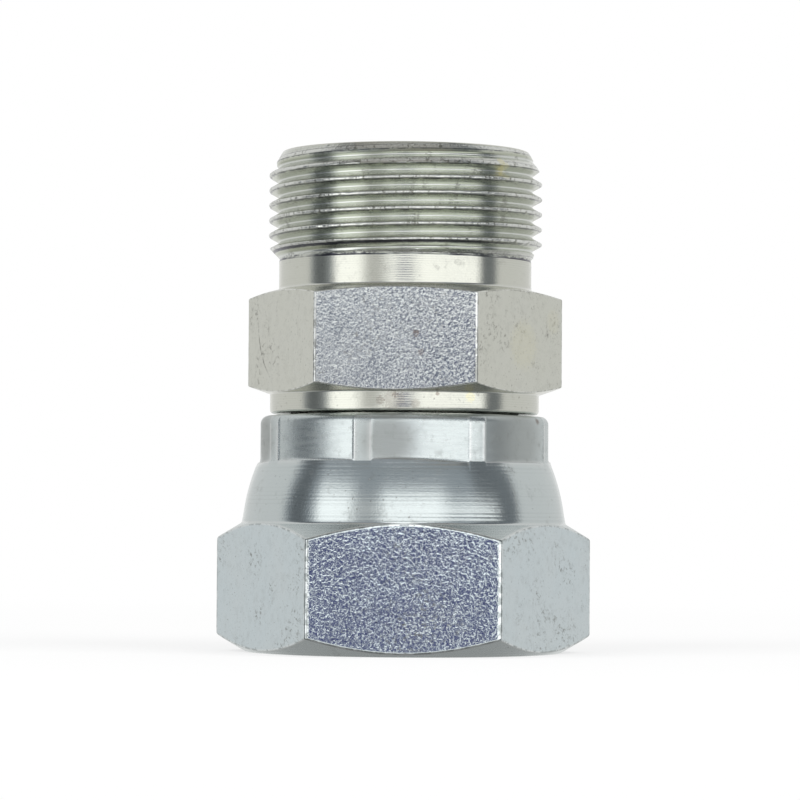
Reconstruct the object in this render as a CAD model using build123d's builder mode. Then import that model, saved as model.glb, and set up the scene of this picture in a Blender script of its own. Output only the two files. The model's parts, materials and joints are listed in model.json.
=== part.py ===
"""Straight adapter fitting: a fixed male pipe thread at one end and a crimped swivel nut at the other.

Millimetres. The flow axis is Z. The origin is the centre of the nut's open face, on which the fitting
stands, and the male thread points up.
"""

import os
from math import ceil, radians, sqrt, tan

from build123d import *
from build123d.topology import SkipClean

# Pipe thread, the same at both ends: parallel, size 1 1/4, right-hand, 55 degree flanks
thread_major_radius = 20.955
thread_pitch = 2.309
thread_flank_angle = 27.5
# The sharp V is cut off by a sixth of its height at the crest and at the root
v_height = thread_pitch / (2 * tan(radians(thread_flank_angle)))
thread_depth = v_height * 2 / 3
thread_land = thread_pitch / 6
thread_minor_radius = thread_major_radius - thread_depth
# Turning stock that is left on a threaded wall before it is brought to size, and the tool's overrun
turning_stock = 0.5
tool_overrun = 0.3
# A threaded wall is brought to size in quarters, so that each thread land is a row of short arcs
wall_quarters = 4
wall_first_angle = 20

# Running clearances between the nut and the adapter body
thread_passage = 0.58
head_clearance = 0.35
head_play = 0.4
stem_clearance = 0.3
nut_gap = 0.35

# Head, nose and flow bore of the adapter body
head_radius = thread_minor_radius - thread_passage
head_length = 7.0
cone_angle = 30
flow_wall = 5.73
flow_radius = thread_minor_radius - flow_wall
nose_tip_land = 1.45
nose_tip_radius = flow_radius + nose_tip_land

# Swivel nut, inside
mouth_overcut = 0.55
mouth_radius = thread_major_radius + mouth_overcut
relief_overcut = 0.25
relief_radius = thread_major_radius + relief_overcut
relief_length = 4.67
nut_bore_radius = head_radius + head_clearance
nut_bore_length = 5.7
collar_catch = 1.2
collar_bore_radius = head_radius - collar_catch
collar_bore_length = 6.45
collar_bore_chamfer = 0.4

# Swivel nut, outside
nut_height = 35.95
nut_hex_height = 19.6
nut_wall = 3.85
dome_foot_radius = thread_major_radius + nut_wall
dome_step = 0.25
dome_start_radius = dome_foot_radius - dome_step
dome_start_rise = 1.3
dome_arc_radius = 30.6
nut_flat_margin = 0.04
nut_across_flats = 2 * (dome_foot_radius + nut_flat_margin)
nut_corner_round = 0.7
nut_rim_inset = 0.65
nut_rim_radius = dome_foot_radius - nut_rim_inset
nut_rim_angle = 30
nut_top_angle = 31

# Crimped collar of the nut: ribs, and the flats that are pressed between them
collar_wall = 4.72
crimp_rib_radius = collar_bore_radius + collar_wall
crimp_flat_depth = 0.27
crimp_flat_radius = crimp_rib_radius - crimp_flat_depth
crimp_height = 7.05
crimp_flare_height = 2.0
crimp_count = 8
crimp_rib_width = 7.5
crimp_turn = -16
collar_edge_round = 1.2

# Stem and shoulder of the adapter body
stem_radius = collar_bore_radius - stem_clearance
shoulder_width = 3.21
shoulder_radius = stem_radius + shoulder_width
shoulder_height = 3.0
shoulder_edge_round = 0.6

# Hexagon of the adapter body
body_flat_margin = 0.34
body_across_flats = 2 * (shoulder_radius + body_flat_margin)
body_hex_height = 15.95
body_hex_turn = -3.8
body_corner_round = 0.5
body_bottom_angle = 19
body_top_angle = 14.6
root_fillet = 0.4

# Neck, threaded end and the sealing seat in its mouth
neck_relief = 0.126
neck_radius = thread_minor_radius - neck_relief
neck_length = 4.87
male_thread_length = 16.38
male_end_inset = 0.58
male_end_radius = thread_minor_radius - male_end_inset
male_chamfer_angle = 30
male_end_land = 0.9
seat_mouth_radius = male_end_radius - male_end_land
male_groove_lead = 1.16

# Levels along the axis
collar_bore_start = nut_height - collar_bore_length
nut_bore_end = collar_bore_start - (nut_bore_radius - collar_bore_radius)
nut_bore_start = nut_bore_end - nut_bore_length
relief_end = nut_bore_start - (relief_radius - nut_bore_radius)
nut_thread_top = relief_end - relief_length
nut_thread_end = nut_thread_top - (relief_radius - thread_minor_radius)
crimp_start = nut_height - crimp_height
head_top = collar_bore_start - (head_radius - collar_bore_radius) - head_play
head_bottom = head_top - head_length
nose_tip_level = head_bottom - (head_radius - nose_tip_radius) / tan(radians(cone_angle))
shoulder_bottom = nut_height + nut_gap
body_hex_bottom = shoulder_bottom + shoulder_height
body_hex_top = body_hex_bottom + body_hex_height
neck_top = body_hex_top + neck_length
male_end = neck_top + male_thread_length
crest_start = neck_top + thread_major_radius - neck_radius
crest_end = male_end - (thread_major_radius - male_end_radius) / tan(radians(male_chamfer_angle))
seat_depth = (seat_mouth_radius - flow_radius) / tan(radians(cone_angle))

# Half widths of the thread groove at its root and where its tool leaves the metal
root_half = thread_land / 2
open_half = root_half + (thread_depth + tool_overrun) * tan(radians(thread_flank_angle))


# One turn of the male groove, with its root at the minor radius and open outwards
male_groove_start = neck_top - male_groove_lead
with BuildPart() as male_groove:
    with BuildLine() as male_helix:
        Helix(thread_pitch, thread_pitch, thread_minor_radius, center=(0, 0, male_groove_start))
    with BuildSketch(Plane.XZ):
        with BuildLine():
            Polyline(
                (thread_minor_radius, male_groove_start - root_half),
                (thread_major_radius + tool_overrun, male_groove_start - open_half),
                (thread_major_radius + tool_overrun, male_groove_start + open_half),
                (thread_minor_radius, male_groove_start + root_half),
                close=True,
            )
        make_face()
    sweep(path=male_helix.line, is_frenet=True)

# One turn of the nut's groove, with its root at the major radius and open inwards
nut_groove_start = -1.5 * thread_pitch
with BuildPart() as nut_groove:
    with BuildLine() as nut_helix:
        Helix(thread_pitch, thread_pitch, thread_major_radius, center=(0, 0, nut_groove_start))
    with BuildSketch(Plane.XZ):
        with BuildLine():
            Polyline(
                (thread_major_radius, nut_groove_start - root_half),
                (thread_minor_radius - tool_overrun, nut_groove_start - open_half),
                (thread_minor_radius - tool_overrun, nut_groove_start + open_half),
                (thread_major_radius, nut_groove_start + root_half),
                close=True,
            )
        make_face()
    sweep(path=nut_helix.line, is_frenet=True)


# A quarter of the metal that turning takes off the male end, down to the thread's crest
quarter_turn = 360 / wall_quarters
with BuildPart() as male_turning:
    with BuildSketch(Plane.XZ):
        with BuildLine():
            Polyline(
                (thread_major_radius, crest_start),
                (thread_major_radius, crest_end),
                (male_end_radius, male_end),
                (male_end_radius, male_end + turning_stock),
                (thread_major_radius + 2 * turning_stock, male_end + turning_stock),
                (thread_major_radius + 2 * turning_stock, crest_start),
                close=True,
            )
        make_face()
    revolve(axis=Axis.Z, revolution_arc=quarter_turn)

# A quarter of the metal that boring takes out of the nut, out to the thread's crest
with BuildPart() as nut_boring:
    with BuildSketch(Plane.XZ):
        with BuildLine():
            Polyline(
                (thread_minor_radius, nut_thread_end),
                (thread_minor_radius, mouth_radius - thread_minor_radius),
                (mouth_radius, 0),
                (mouth_radius, -turning_stock),
                (thread_minor_radius - 2 * turning_stock, -turning_stock),
                (thread_minor_radius - 2 * turning_stock, nut_thread_end),
                close=True,
            )
        make_face()
    revolve(axis=Axis.Z, revolution_arc=quarter_turn)

# One jaw of the crimping tool: what it presses away between two ribs of the nut's collar
jaw_top = nut_height + collar_edge_round
jaw_radius = crimp_rib_radius + collar_edge_round
with BuildPart() as crimp_jaw:
    with BuildSketch(Plane.XZ.rotated((0, 0, crimp_turn + crimp_rib_width / 2))):
        with BuildLine():
            Line((crimp_rib_radius, crimp_start), (crimp_flat_radius, crimp_start + crimp_flare_height))
            Line(
                (crimp_flat_radius, crimp_start + crimp_flare_height),
                (crimp_flat_radius, nut_height - collar_edge_round),
            )
            RadiusArc(
                (crimp_flat_radius, nut_height - collar_edge_round),
                (crimp_flat_radius - collar_edge_round, nut_height),
                -collar_edge_round,
            )
            Line((crimp_flat_radius - collar_edge_round, nut_height), (crimp_flat_radius, jaw_top))
            Line((crimp_flat_radius, jaw_top), (jaw_radius, jaw_top))
            Line((jaw_radius, jaw_top), (jaw_radius, crimp_start))
            Line((jaw_radius, crimp_start), (crimp_rib_radius, crimp_start))
        make_face()
    revolve(axis=Axis.Z, revolution_arc=360 / crimp_count - crimp_rib_width)


# Adapter body
with BuildPart() as adapter_body:
    # Hexagon, its corners turned off by a flat cone above and a steeper one below
    body_corner_radius = body_across_flats / sqrt(3)
    with BuildSketch(Plane.XY.offset(body_hex_bottom)) as body_hexagon:
        RegularPolygon(body_across_flats / 2, 6, major_radius=False, rotation=body_hex_turn)
        fillet(body_hexagon.vertices(), body_corner_round)
    extrude(amount=body_hex_height)
    with BuildSketch(Plane.XZ):
        with BuildLine():
            Polyline(
                (0, body_hex_bottom),
                (shoulder_radius, body_hex_bottom),
                (
                    body_corner_radius,
                    body_hex_bottom
                    + (body_corner_radius - shoulder_radius) * tan(radians(body_bottom_angle)),
                ),
                (
                    body_corner_radius,
                    body_hex_top - (body_corner_radius - neck_radius) * tan(radians(body_top_angle)),
                ),
                (neck_radius, body_hex_top),
                (0, body_hex_top),
                close=True,
            )
        make_face()
    revolve(axis=Axis.Z, mode=Mode.INTERSECT)

    # Shoulder, stem, head and nose below the hexagon
    with BuildSketch(Plane.XZ):
        with BuildLine():
            Polyline(
                (0, body_hex_bottom),
                (0, nose_tip_level),
                (nose_tip_radius, nose_tip_level),
                (head_radius, head_bottom),
                (head_radius, head_top),
                (stem_radius, head_top + head_radius - stem_radius),
                (stem_radius, shoulder_bottom),
                (shoulder_radius - shoulder_edge_round, shoulder_bottom),
            )
            RadiusArc(
                (shoulder_radius - shoulder_edge_round, shoulder_bottom),
                (shoulder_radius, shoulder_bottom + shoulder_edge_round),
                -shoulder_edge_round,
            )
            Polyline(
                (shoulder_radius, shoulder_bottom + shoulder_edge_round),
                (shoulder_radius, body_hex_bottom),
                (0, body_hex_bottom),
            )
        make_face()
    revolve(axis=Axis.Z)

    # Neck, and the stock of the threaded end
    with BuildSketch(Plane.XZ):
        with BuildLine():
            Polyline(
                (0, body_hex_top),
                (neck_radius, body_hex_top),
                (neck_radius, neck_top),
                (thread_major_radius + turning_stock, crest_start + turning_stock),
                (thread_major_radius + turning_stock, male_end),
                (0, male_end),
                close=True,
            )
        make_face()
    revolve(axis=Axis.Z)
    hexagon_roots = [
        edge
        for edge in adapter_body.edges().filter_by(GeomType.CIRCLE)
        for radius, level in ((neck_radius, body_hex_top), (shoulder_radius, body_hex_bottom))
        if abs(edge.radius - radius) < tool_overrun and abs(edge.arc_center.Z - level) < tool_overrun
    ]
    fillet(hexagon_roots, root_fillet)

    # Flow bore, with the sealing cone in the male end
    with BuildSketch(Plane.XZ):
        with BuildLine():
            Polyline(
                (0, nose_tip_level),
                (flow_radius, nose_tip_level),
                (flow_radius, male_end - seat_depth),
                (seat_mouth_radius, male_end),
                (0, male_end),
                close=True,
            )
        make_face()
    revolve(axis=Axis.Z, mode=Mode.SUBTRACT)

    # Threaded wall and its start chamfer turned to size, then the thread cut a turn at a time
    male_turns = ceil((male_end - male_groove_start) / thread_pitch) + 1
    with SkipClean():
        with PolarLocations(0, wall_quarters, wall_first_angle):
            add(male_turning.part, mode=Mode.SUBTRACT, clean=False)
        with Locations([(0, 0, turn * thread_pitch) for turn in range(male_turns)]):
            add(male_groove.part, mode=Mode.SUBTRACT, clean=False)


# Swivel nut
with BuildPart() as swivel_nut:
    # Hexagon, its corners turned off at both faces
    nut_corner_radius = nut_across_flats / sqrt(3)
    with BuildSketch() as nut_hexagon:
        RegularPolygon(nut_across_flats / 2, 6, major_radius=False)
        fillet(nut_hexagon.vertices(), nut_corner_round)
    extrude(amount=nut_hex_height)
    with BuildSketch(Plane.XZ):
        with BuildLine():
            Polyline(
                (0, 0),
                (nut_rim_radius, 0),
                (nut_corner_radius, (nut_corner_radius - nut_rim_radius) * tan(radians(nut_rim_angle))),
                (
                    nut_corner_radius,
                    nut_hex_height
                    - (nut_corner_radius - dome_foot_radius) * tan(radians(nut_top_angle)),
                ),
                (dome_foot_radius, nut_hex_height),
                (0, nut_hex_height),
                close=True,
            )
        make_face()
    revolve(axis=Axis.Z, mode=Mode.INTERSECT)

    # Dome and crimped collar
    with BuildSketch(Plane.XZ):
        with BuildLine():
            Line((0, nut_hex_height), (dome_foot_radius, nut_hex_height))
            Line((dome_foot_radius, nut_hex_height), (dome_start_radius, nut_hex_height + dome_start_rise))
            RadiusArc(
                (dome_start_radius, nut_hex_height + dome_start_rise),
                (crimp_rib_radius, crimp_start),
                -dome_arc_radius,
            )
            Line((crimp_rib_radius, crimp_start), (crimp_rib_radius, nut_height - collar_edge_round))
            RadiusArc(
                (crimp_rib_radius, nut_height - collar_edge_round),
                (crimp_rib_radius - collar_edge_round, nut_height),
                -collar_edge_round,
            )
            Line((crimp_rib_radius - collar_edge_round, nut_height), (0, nut_height))
            Line((0, nut_height), (0, nut_hex_height))
        make_face()
    revolve(axis=Axis.Z)

    # Pressed flats, with a rib left between each two
    with PolarLocations(0, crimp_count):
        add(crimp_jaw.part, mode=Mode.SUBTRACT)

    # Inside: mouth, stock of the threaded wall, thread relief, head bore, shoulder and collar bore
    with BuildSketch(Plane.XZ):
        with BuildLine():
            Polyline(
                (0, 0),
                (thread_minor_radius - turning_stock, 0),
                (thread_minor_radius - turning_stock, nut_thread_end),
                (thread_minor_radius, nut_thread_end),
                (relief_radius, nut_thread_top),
                (relief_radius, relief_end),
                (nut_bore_radius, nut_bore_start),
                (nut_bore_radius, nut_bore_end),
                (collar_bore_radius, collar_bore_start),
                (collar_bore_radius, nut_height - collar_bore_chamfer),
                (collar_bore_radius + collar_bore_chamfer, nut_height),
                (0, nut_height),
                close=True,
            )
        make_face()
    revolve(axis=Axis.Z, mode=Mode.SUBTRACT)

    # Threaded wall and its mouth chamfer bored to size, then the thread cut a turn at a time
    nut_turns = ceil((nut_thread_top - nut_groove_start) / thread_pitch) + 1
    with SkipClean():
        with PolarLocations(0, wall_quarters, wall_first_angle):
            add(nut_boring.part, mode=Mode.SUBTRACT, clean=False)
        with Locations([(0, 0, turn * thread_pitch) for turn in range(nut_turns)]):
            add(nut_groove.part, mode=Mode.SUBTRACT, clean=False)


adapter_body.part.label = "adapter_body"
swivel_nut.part.label = "swivel_nut"
os.makedirs("parts", exist_ok=True)
export_step(adapter_body.part, "parts/adapter_body.step")
export_step(swivel_nut.part, "parts/swivel_nut.step")
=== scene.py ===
"""Looks of a zinc plated straight adapter fitting: turned body with male thread, and swivel nut.

Metres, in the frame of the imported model: the flow axis is Z and the nut's open face stands on z = 0.
"""

import json
import math

import bpy
import numpy as np
from mathutils import Matrix, Vector


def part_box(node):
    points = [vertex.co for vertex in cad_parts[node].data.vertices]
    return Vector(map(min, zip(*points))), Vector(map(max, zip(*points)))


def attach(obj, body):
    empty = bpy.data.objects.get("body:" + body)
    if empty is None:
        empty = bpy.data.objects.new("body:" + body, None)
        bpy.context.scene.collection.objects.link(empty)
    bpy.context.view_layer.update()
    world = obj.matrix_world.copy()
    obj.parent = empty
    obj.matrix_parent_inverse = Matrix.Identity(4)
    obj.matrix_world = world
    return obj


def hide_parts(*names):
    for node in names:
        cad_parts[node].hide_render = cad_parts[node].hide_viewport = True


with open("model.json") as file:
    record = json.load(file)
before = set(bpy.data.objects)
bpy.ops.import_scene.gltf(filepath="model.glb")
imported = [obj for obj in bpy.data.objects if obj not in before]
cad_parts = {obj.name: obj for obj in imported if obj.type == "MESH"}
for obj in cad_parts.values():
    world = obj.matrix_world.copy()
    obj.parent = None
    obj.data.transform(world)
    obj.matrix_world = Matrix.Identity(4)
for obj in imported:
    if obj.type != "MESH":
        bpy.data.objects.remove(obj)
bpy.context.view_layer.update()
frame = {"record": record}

bl_info = {
    "name": "Straight adapter fitting",
    "version": (1, 0, 0),
    "blender": (4, 5, 0),
    "location": "View3D > Sidebar > Fitting",
    "description": "Models and finishes a hydraulic adapter with a male thread and a swivel nut",
    "category": "Object",
}

MM = 0.001

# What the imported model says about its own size
mounts = {mount["name"]: mount for mount in frame["record"]["mounts"]}
nut_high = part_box("swivel_nut")[1]
body_low, body_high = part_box("adapter_body")
THREAD_MAJOR = mounts["male_thread"]["dims"]["r_mm"] * MM
THREAD_MINOR = mounts["female_thread"]["dims"]["r_mm"] * MM

# Columns of points: degrees between them, and how far they stand from a corner or a rib's side
COLUMN_STEP = 1.25
BODY_CORNER_COLUMNS = (0.1, 0.25, 0.42, 0.6, 0.9, 1.35, 1.95, 2.8)
NUT_CORNER_COLUMNS = (0.1, 0.3, 0.5, 0.71, 1.0, 1.4, 1.95, 2.8)
RIB_SIDE_COLUMNS = (-0.9, -0.3, 0, 0.35, 0.7, 1.05, 1.6)
RIB_CLEARANCE = 0.45
CLOSEST_COLUMNS = 0.05

# Mesh finishing: doubles nearer than this, in millimetres, are merged, and sharper edges stay sharp
MERGE_DISTANCE = 0.002
SHARP_ANGLE = math.radians(38)

# Dents along the male thread's crest
DENT_SEED = 11
DENT_COUNT = 420
DENT_SIZE = 0.018

# Counts of ribs and of rows, and the female thread's first root, in pitches above the open face
RIBS = 8
DOME_ROWS = 10
COLLAR_EDGE_ROWS = 7
FEMALE_START = -2.5

# Picture that the camera is set up for
PICTURE_SIDE = 800
SENSOR_WIDTH = 36.0

# Lamps above the fitting, the plain light on whatever isn't shiny, and the floor
LAMPS = {"left_lamp": (-0.9, -0.7, 1.1), "right_lamp": (0.9, -0.6, 1.2)}
LAMP_SIZE = 0.9
LAMP_POWER = 9
LAMP_AIM = (0, 0, 0.03)
PLAIN_LIGHT = 0.62
WHITE = (1.0, 1.0, 1.0, 1.0)
FLOOR_COLOUR = (0.92, 0.92, 0.92, 1.0)

# Brightest light that the metal sees, of which the world's colours are parts, and their tones
PEAK = 1.5
GREY = (1.0, 1.0, 0.99)
COOL = (0.93, 1.0, 1.07)
WARM = (1.04, 1.0, 0.93)
BLUE = (0.86, 0.92, 1.24)
NAVY = (0.32, 0.36, 1.15)


def length(name, millimetres, text):
    return bpy.props.FloatProperty(
        name=name, description=text, default=millimetres * MM, min=0.0, unit="LENGTH", precision=5
    )


def turn(name, degrees, text):
    return bpy.props.FloatProperty(
        name=name, description=text, default=math.radians(degrees), subtype="ANGLE"
    )


def level(name, value, text):
    return bpy.props.FloatProperty(name=name, description=text, default=value, min=0.0)


def tint(name, value, text):
    return bpy.props.FloatVectorProperty(
        name=name, description=text, default=value, min=0.0, max=1.0, size=3, subtype="COLOR"
    )


class ThreadSizes(bpy.types.PropertyGroup):
    """Pipe thread, the same at both ends."""

    pitch: length("Pitch", 2.309, "Rise of the thread in one turn")
    land: length("Land", 0.385, "Width of the thread at its crest and at its root")
    crest_round: length("Crest rounding", 0.16, "Rounding of the crest")
    root_round: length("Root rounding", 0.34, "Rounding of the root")
    nick: length("Nicks", 0.20, "Depth of the dents along the crest")


class BodySizes(bpy.types.PropertyGroup):
    """Adapter body."""

    flow_radius: length("Flow bore", 13.746, "Radius of the bore right through")
    nose_radius: length("Nose tip", 15.196, "Radius of the nose cone's tip")
    head_radius: length("Head", 18.896, "Radius of the head that the nut's collar keeps in")
    head_bottom: length("Head bottom", 20.9, "Height at which the nose cone starts")
    head_top: length("Head top", 27.9, "Height at which the head ends")
    stem_radius: length("Stem", 17.396, "Radius of the stem inside the nut's collar")
    shoulder_radius: length("Shoulder", 20.606, "Radius of the shoulder under the hexagon")
    shoulder_bottom: length("Shoulder bottom", 36.3, "Height of the shoulder's lower face")
    shoulder_round: length("Shoulder edge", 0.6, "Rounding of the shoulder's lower edge")
    across_flats: length("Across flats", 41.892, "Distance between two flats of the hexagon")
    hexagon_bottom: length("Hexagon bottom", 39.3, "Height at which the hexagon starts")
    hexagon_top: length("Hexagon top", 55.25, "Height at which the hexagon ends")
    hexagon_turn: turn("Hexagon turn", -3.8, "How far the hexagon is turned about the flow axis")
    bottom_slope: turn("Bottom chamfer", 19, "Slope of the chamfer below the hexagon")
    top_slope: turn("Top chamfer", 14.6, "Slope of the chamfer above the hexagon")
    corner_round: length("Hexagon corners", 0.5, "Rounding of the hexagon's corners")
    edge_round: length("Hexagon edges", 0.22, "Rounding between a flat and a chamfer")
    root_round: length("Roots", 0.4, "Fillet where the neck and the shoulder meet the hexagon")
    neck_radius: length("Neck", 19.35, "Radius of the neck between hexagon and thread")
    neck_top: length("Neck top", 60.12, "Height at which the thread starts to rise out of the neck")
    neck_groove: length("Neck groove", 0.14, "Depth of the ragged groove where the neck ends")
    groove_drop: length("Groove drop", 1.16, "How far below the neck's top the thread's groove starts")
    end_radius: length("End radius", 18.896, "Radius of the male end at the foot of its chamfer")
    end_slope: turn("End chamfer", 30, "Slope of the chamfer that leads the thread in")
    seat_radius: length("Seat mouth", 17.996, "Radius of the sealing seat's mouth")
    seat_slope: turn("Seat slope", 30, "Half the angle of the sealing seat")


class NutSizes(bpy.types.PropertyGroup):
    """Swivel nut."""

    mouth_radius: length("Mouth", 21.505, "Radius of the mouth's chamfer")
    rim_radius: length("Rim", 24.155, "Radius of the flat face that the nut stands on")
    rim_slope: turn("Rim slope", 30, "Slope of the chamfer below the hexagon")
    hexagon_top: length("Hexagon top", 19.6, "Height at which the hexagon ends")
    top_slope: turn("Top slope", 31, "Slope of the chamfer above the hexagon")
    corner_round: length("Hexagon corners", 0.7, "Rounding of the hexagon's corners")
    edge_round: length("Hexagon edges", 0.36, "Rounding between a flat and a chamfer")
    foot_radius: length("Dome foot", 24.805, "Radius at which the dome rises from the chamfer")
    dome_radius: length("Dome start", 24.555, "Radius at which the dome's curve starts")
    dome_rise: length("Dome rise", 1.3, "Height of the dome's curve above the hexagon")
    dome_curve: length("Dome curve", 30.6, "Radius of the dome's curve")
    rib_radius: length("Ribs", 22.416, "Radius of the ribs between the pressed flats")
    press_depth: length("Press depth", 0.42, "How deep a flat is pressed in at its middle")
    press_edge: length("Press edge", 0.08, "How deep a flat is pressed in beside a rib")
    press_bottom: length("Press bottom", 28.9, "Height at which the pressed flats start")
    press_rise: length("Press rise", 0.75, "Height over which a pressed flat reaches its depth")
    rib_width: turn("Rib width", 6.6, "Angle that a rib takes up")
    rib_side: turn("Rib side", 0.9, "Angle over which a rib's side falls to the flat")
    ribs_turn: turn("Ribs turn", -16, "How far the ribs are turned about the flow axis")
    burr: length("Burr", 0.035, "Height of the lip that the jaws raise along a rib")
    top_round: length("Collar edge", 1.2, "Rounding of the collar's upper edge")
    bore_radius: length("Collar bore", 17.696, "Radius of the hole in the collar")
    bore_length: length("Collar bore length", 6.45, "Length of the hole in the collar")
    bore_chamfer: length("Collar chamfer", 0.4, "Chamfer of the hole in the collar")
    head_radius: length("Head bore", 19.246, "Radius of the bore that holds the head")
    head_length: length("Head bore length", 5.7, "Length of the bore that holds the head")
    relief_radius: length("Relief", 21.205, "Radius of the relief behind the thread")
    relief_length: length("Relief length", 4.67, "Length of the relief behind the thread")


class FinishSettings(bpy.types.PropertyGroup):
    """Colours of the plating."""

    body_colour: tint("Body plating", (0.69, 0.70, 0.635), "Zinc plating of the adapter body")
    nut_colour: tint("Nut plating", (0.635, 0.69, 0.695), "Zinc plating of the swivel nut")
    flat_colour: tint("Nut flats", (0.67, 0.75, 0.78), "Zinc plating of the nut's flats")
    # Painted reflection: the bluer tone of the body's flat that faces the camera, for the dim room in front
    # of it
    front_reflection_colour: tint("Front flat", (0.60, 0.63, 0.63), "Bluer plating of the body's front flat")
    thread_colour: tint("Thread plating", (0.63, 0.65, 0.595), "Zinc plating of the thread's flanks")
    scuff_colour: tint("Scuffs", (0.20, 0.20, 0.18), "Grey-brown marks from handling")
    rust_colour: tint("Specks", (0.14, 0.075, 0.05), "Tiny brown specks")
    stain_colour: tint("Stains", (0.80, 0.76, 0.50), "Yellow chromate stains")
    # Painted shade: dark navy lines beside the thread's crests, in its last groove and at its foot
    groove_shade_colour: tint("Grooves", (0.045, 0.045, 0.075), "Dirt in the last groove and under the crests")
    # Painted shade: the down-facing flank below each crest is darker and greener
    lower_flank_shade_colour: tint("Flanks", (0.47, 0.505, 0.385), "Greenish plating below the crests")
    pit_reflection_colour: tint("Pits", (0.17, 0.205, 0.26), "Dark pits of the body's front flat")
    # Painted reflection: dark navy pits on the body's flat that faces the camera
    bore_colour: tint("Bores", (0.50, 0.51, 0.49), "Plating inside the bores")


class StudioSettings(bpy.types.PropertyGroup):
    """Camera, floor and light."""

    distance: length("Camera distance", 566, "Distance of the camera from the flow axis")
    eye_height: length("Camera height", 21.05, "Height of the camera above the floor")
    aim_side: length("Aim side", -0.68, "Where the picture's centre lies beside the flow axis")
    aim_height: length("Aim height", 38.54, "Height of the picture's centre")
    pixel_size: length("Pixel size", 0.1534, "What one pixel covers on the flow axis")
    roll: turn("Camera roll", 0.37, "How far the camera leans")
    pale: level("Pale surroundings", 0.715, "Light of the surroundings at the sides and behind")
    bright: level("Soft panels", 1.42, "Light of the soft panels left and right of the camera")
    dim: level("Dim front", 0.36, "Light from behind the camera")
    dark: level("Dark gaps", 0.17, "Light of the gaps beside the soft panels")
    floor_width: length("Floor", 3000, "Side of the floor")


class Wire:
    """An output of a shader node, on which arithmetic adds Math nodes."""

    def __init__(self, graph, socket):
        self.graph = graph
        self.socket = socket

    def maths(self, operation, *values, clamp=False):
        return self.graph.add("Math", dict(enumerate(values)), operation=operation, use_clamp=clamp)

    def __add__(self, other):
        return self.maths("ADD", self, other)

    def __radd__(self, other):
        return self.maths("ADD", other, self)

    def __sub__(self, other):
        return self.maths("SUBTRACT", self, other)

    def __rsub__(self, other):
        return self.maths("SUBTRACT", other, self)

    def __mul__(self, other):
        return self.maths("MULTIPLY", self, other)

    def __rmul__(self, other):
        return self.maths("MULTIPLY", other, self)

    def __truediv__(self, other):
        return self.maths("DIVIDE", self, other)

    def __pow__(self, other):
        return self.maths("POWER", self, other)

    def clamped(self):
        return self.maths("ADD", self, 0.0, clamp=True)

    def larger(self, other):
        return self.maths("MAXIMUM", self, other)

    def size(self):
        return self.maths("ABSOLUTE", self)


class Graph:
    """A node tree under construction: each call adds one node and gives back its output."""

    def __init__(self, tree):
        self.tree = tree
        tree.nodes.clear()

    def add(self, kind, values=None, output=0, **settings):
        node = self.tree.nodes.new("ShaderNode" + kind)
        for key, value in settings.items():
            setattr(node, key, value)
        for key, value in (values or {}).items():
            if isinstance(value, Wire):
                self.tree.links.new(value.socket, node.inputs[key])
            else:
                node.inputs[key].default_value = value
        return Wire(self, node.outputs[output]) if node.outputs else None

    def vector(self, operation, *values, output=0):
        return self.add("VectorMath", dict(enumerate(values)), output, operation=operation)

    def joined(self, x, y, z):
        return self.add("CombineXYZ", {0: x, 1: y, 2: z})

    def part(self, vector, index):
        return self.add("SeparateXYZ", {0: vector}, index)

    def noise(self, vector, scale, detail=2.0, roughness=0.5, distortion=0.0):
        values = {"Vector": vector, "Scale": scale, "Detail": detail, "Roughness": roughness}
        return self.add("TexNoise", {**values, "Distortion": distortion})

    def smooth(self, value, low, high):
        values = {"Value": value, "From Min": low, "From Max": high}
        return self.add("MapRange", values, interpolation_type="SMOOTHSTEP")

    def band(self, value, low, high, soft_low, soft_high=None):
        """1 between the two edges, each softened by the width given."""
        soft_high = soft_high or soft_low
        rise = self.smooth(value, low - soft_low, low + soft_low)
        return rise * (1.0 - self.smooth(value, high - soft_high, high + soft_high))

    def colour(self, factor, first, second):
        first, second = (
            shade if isinstance(shade, Wire) else (*shade[:3], 1.0) for shade in (first, second)
        )
        return self.add("Mix", {0: factor, 6: first, 7: second}, 2, data_type="RGBA")

    def bump(self, height, distance):
        return self.add("Bump", {"Height": height, "Distance": distance, "Strength": 1.0})


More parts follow.
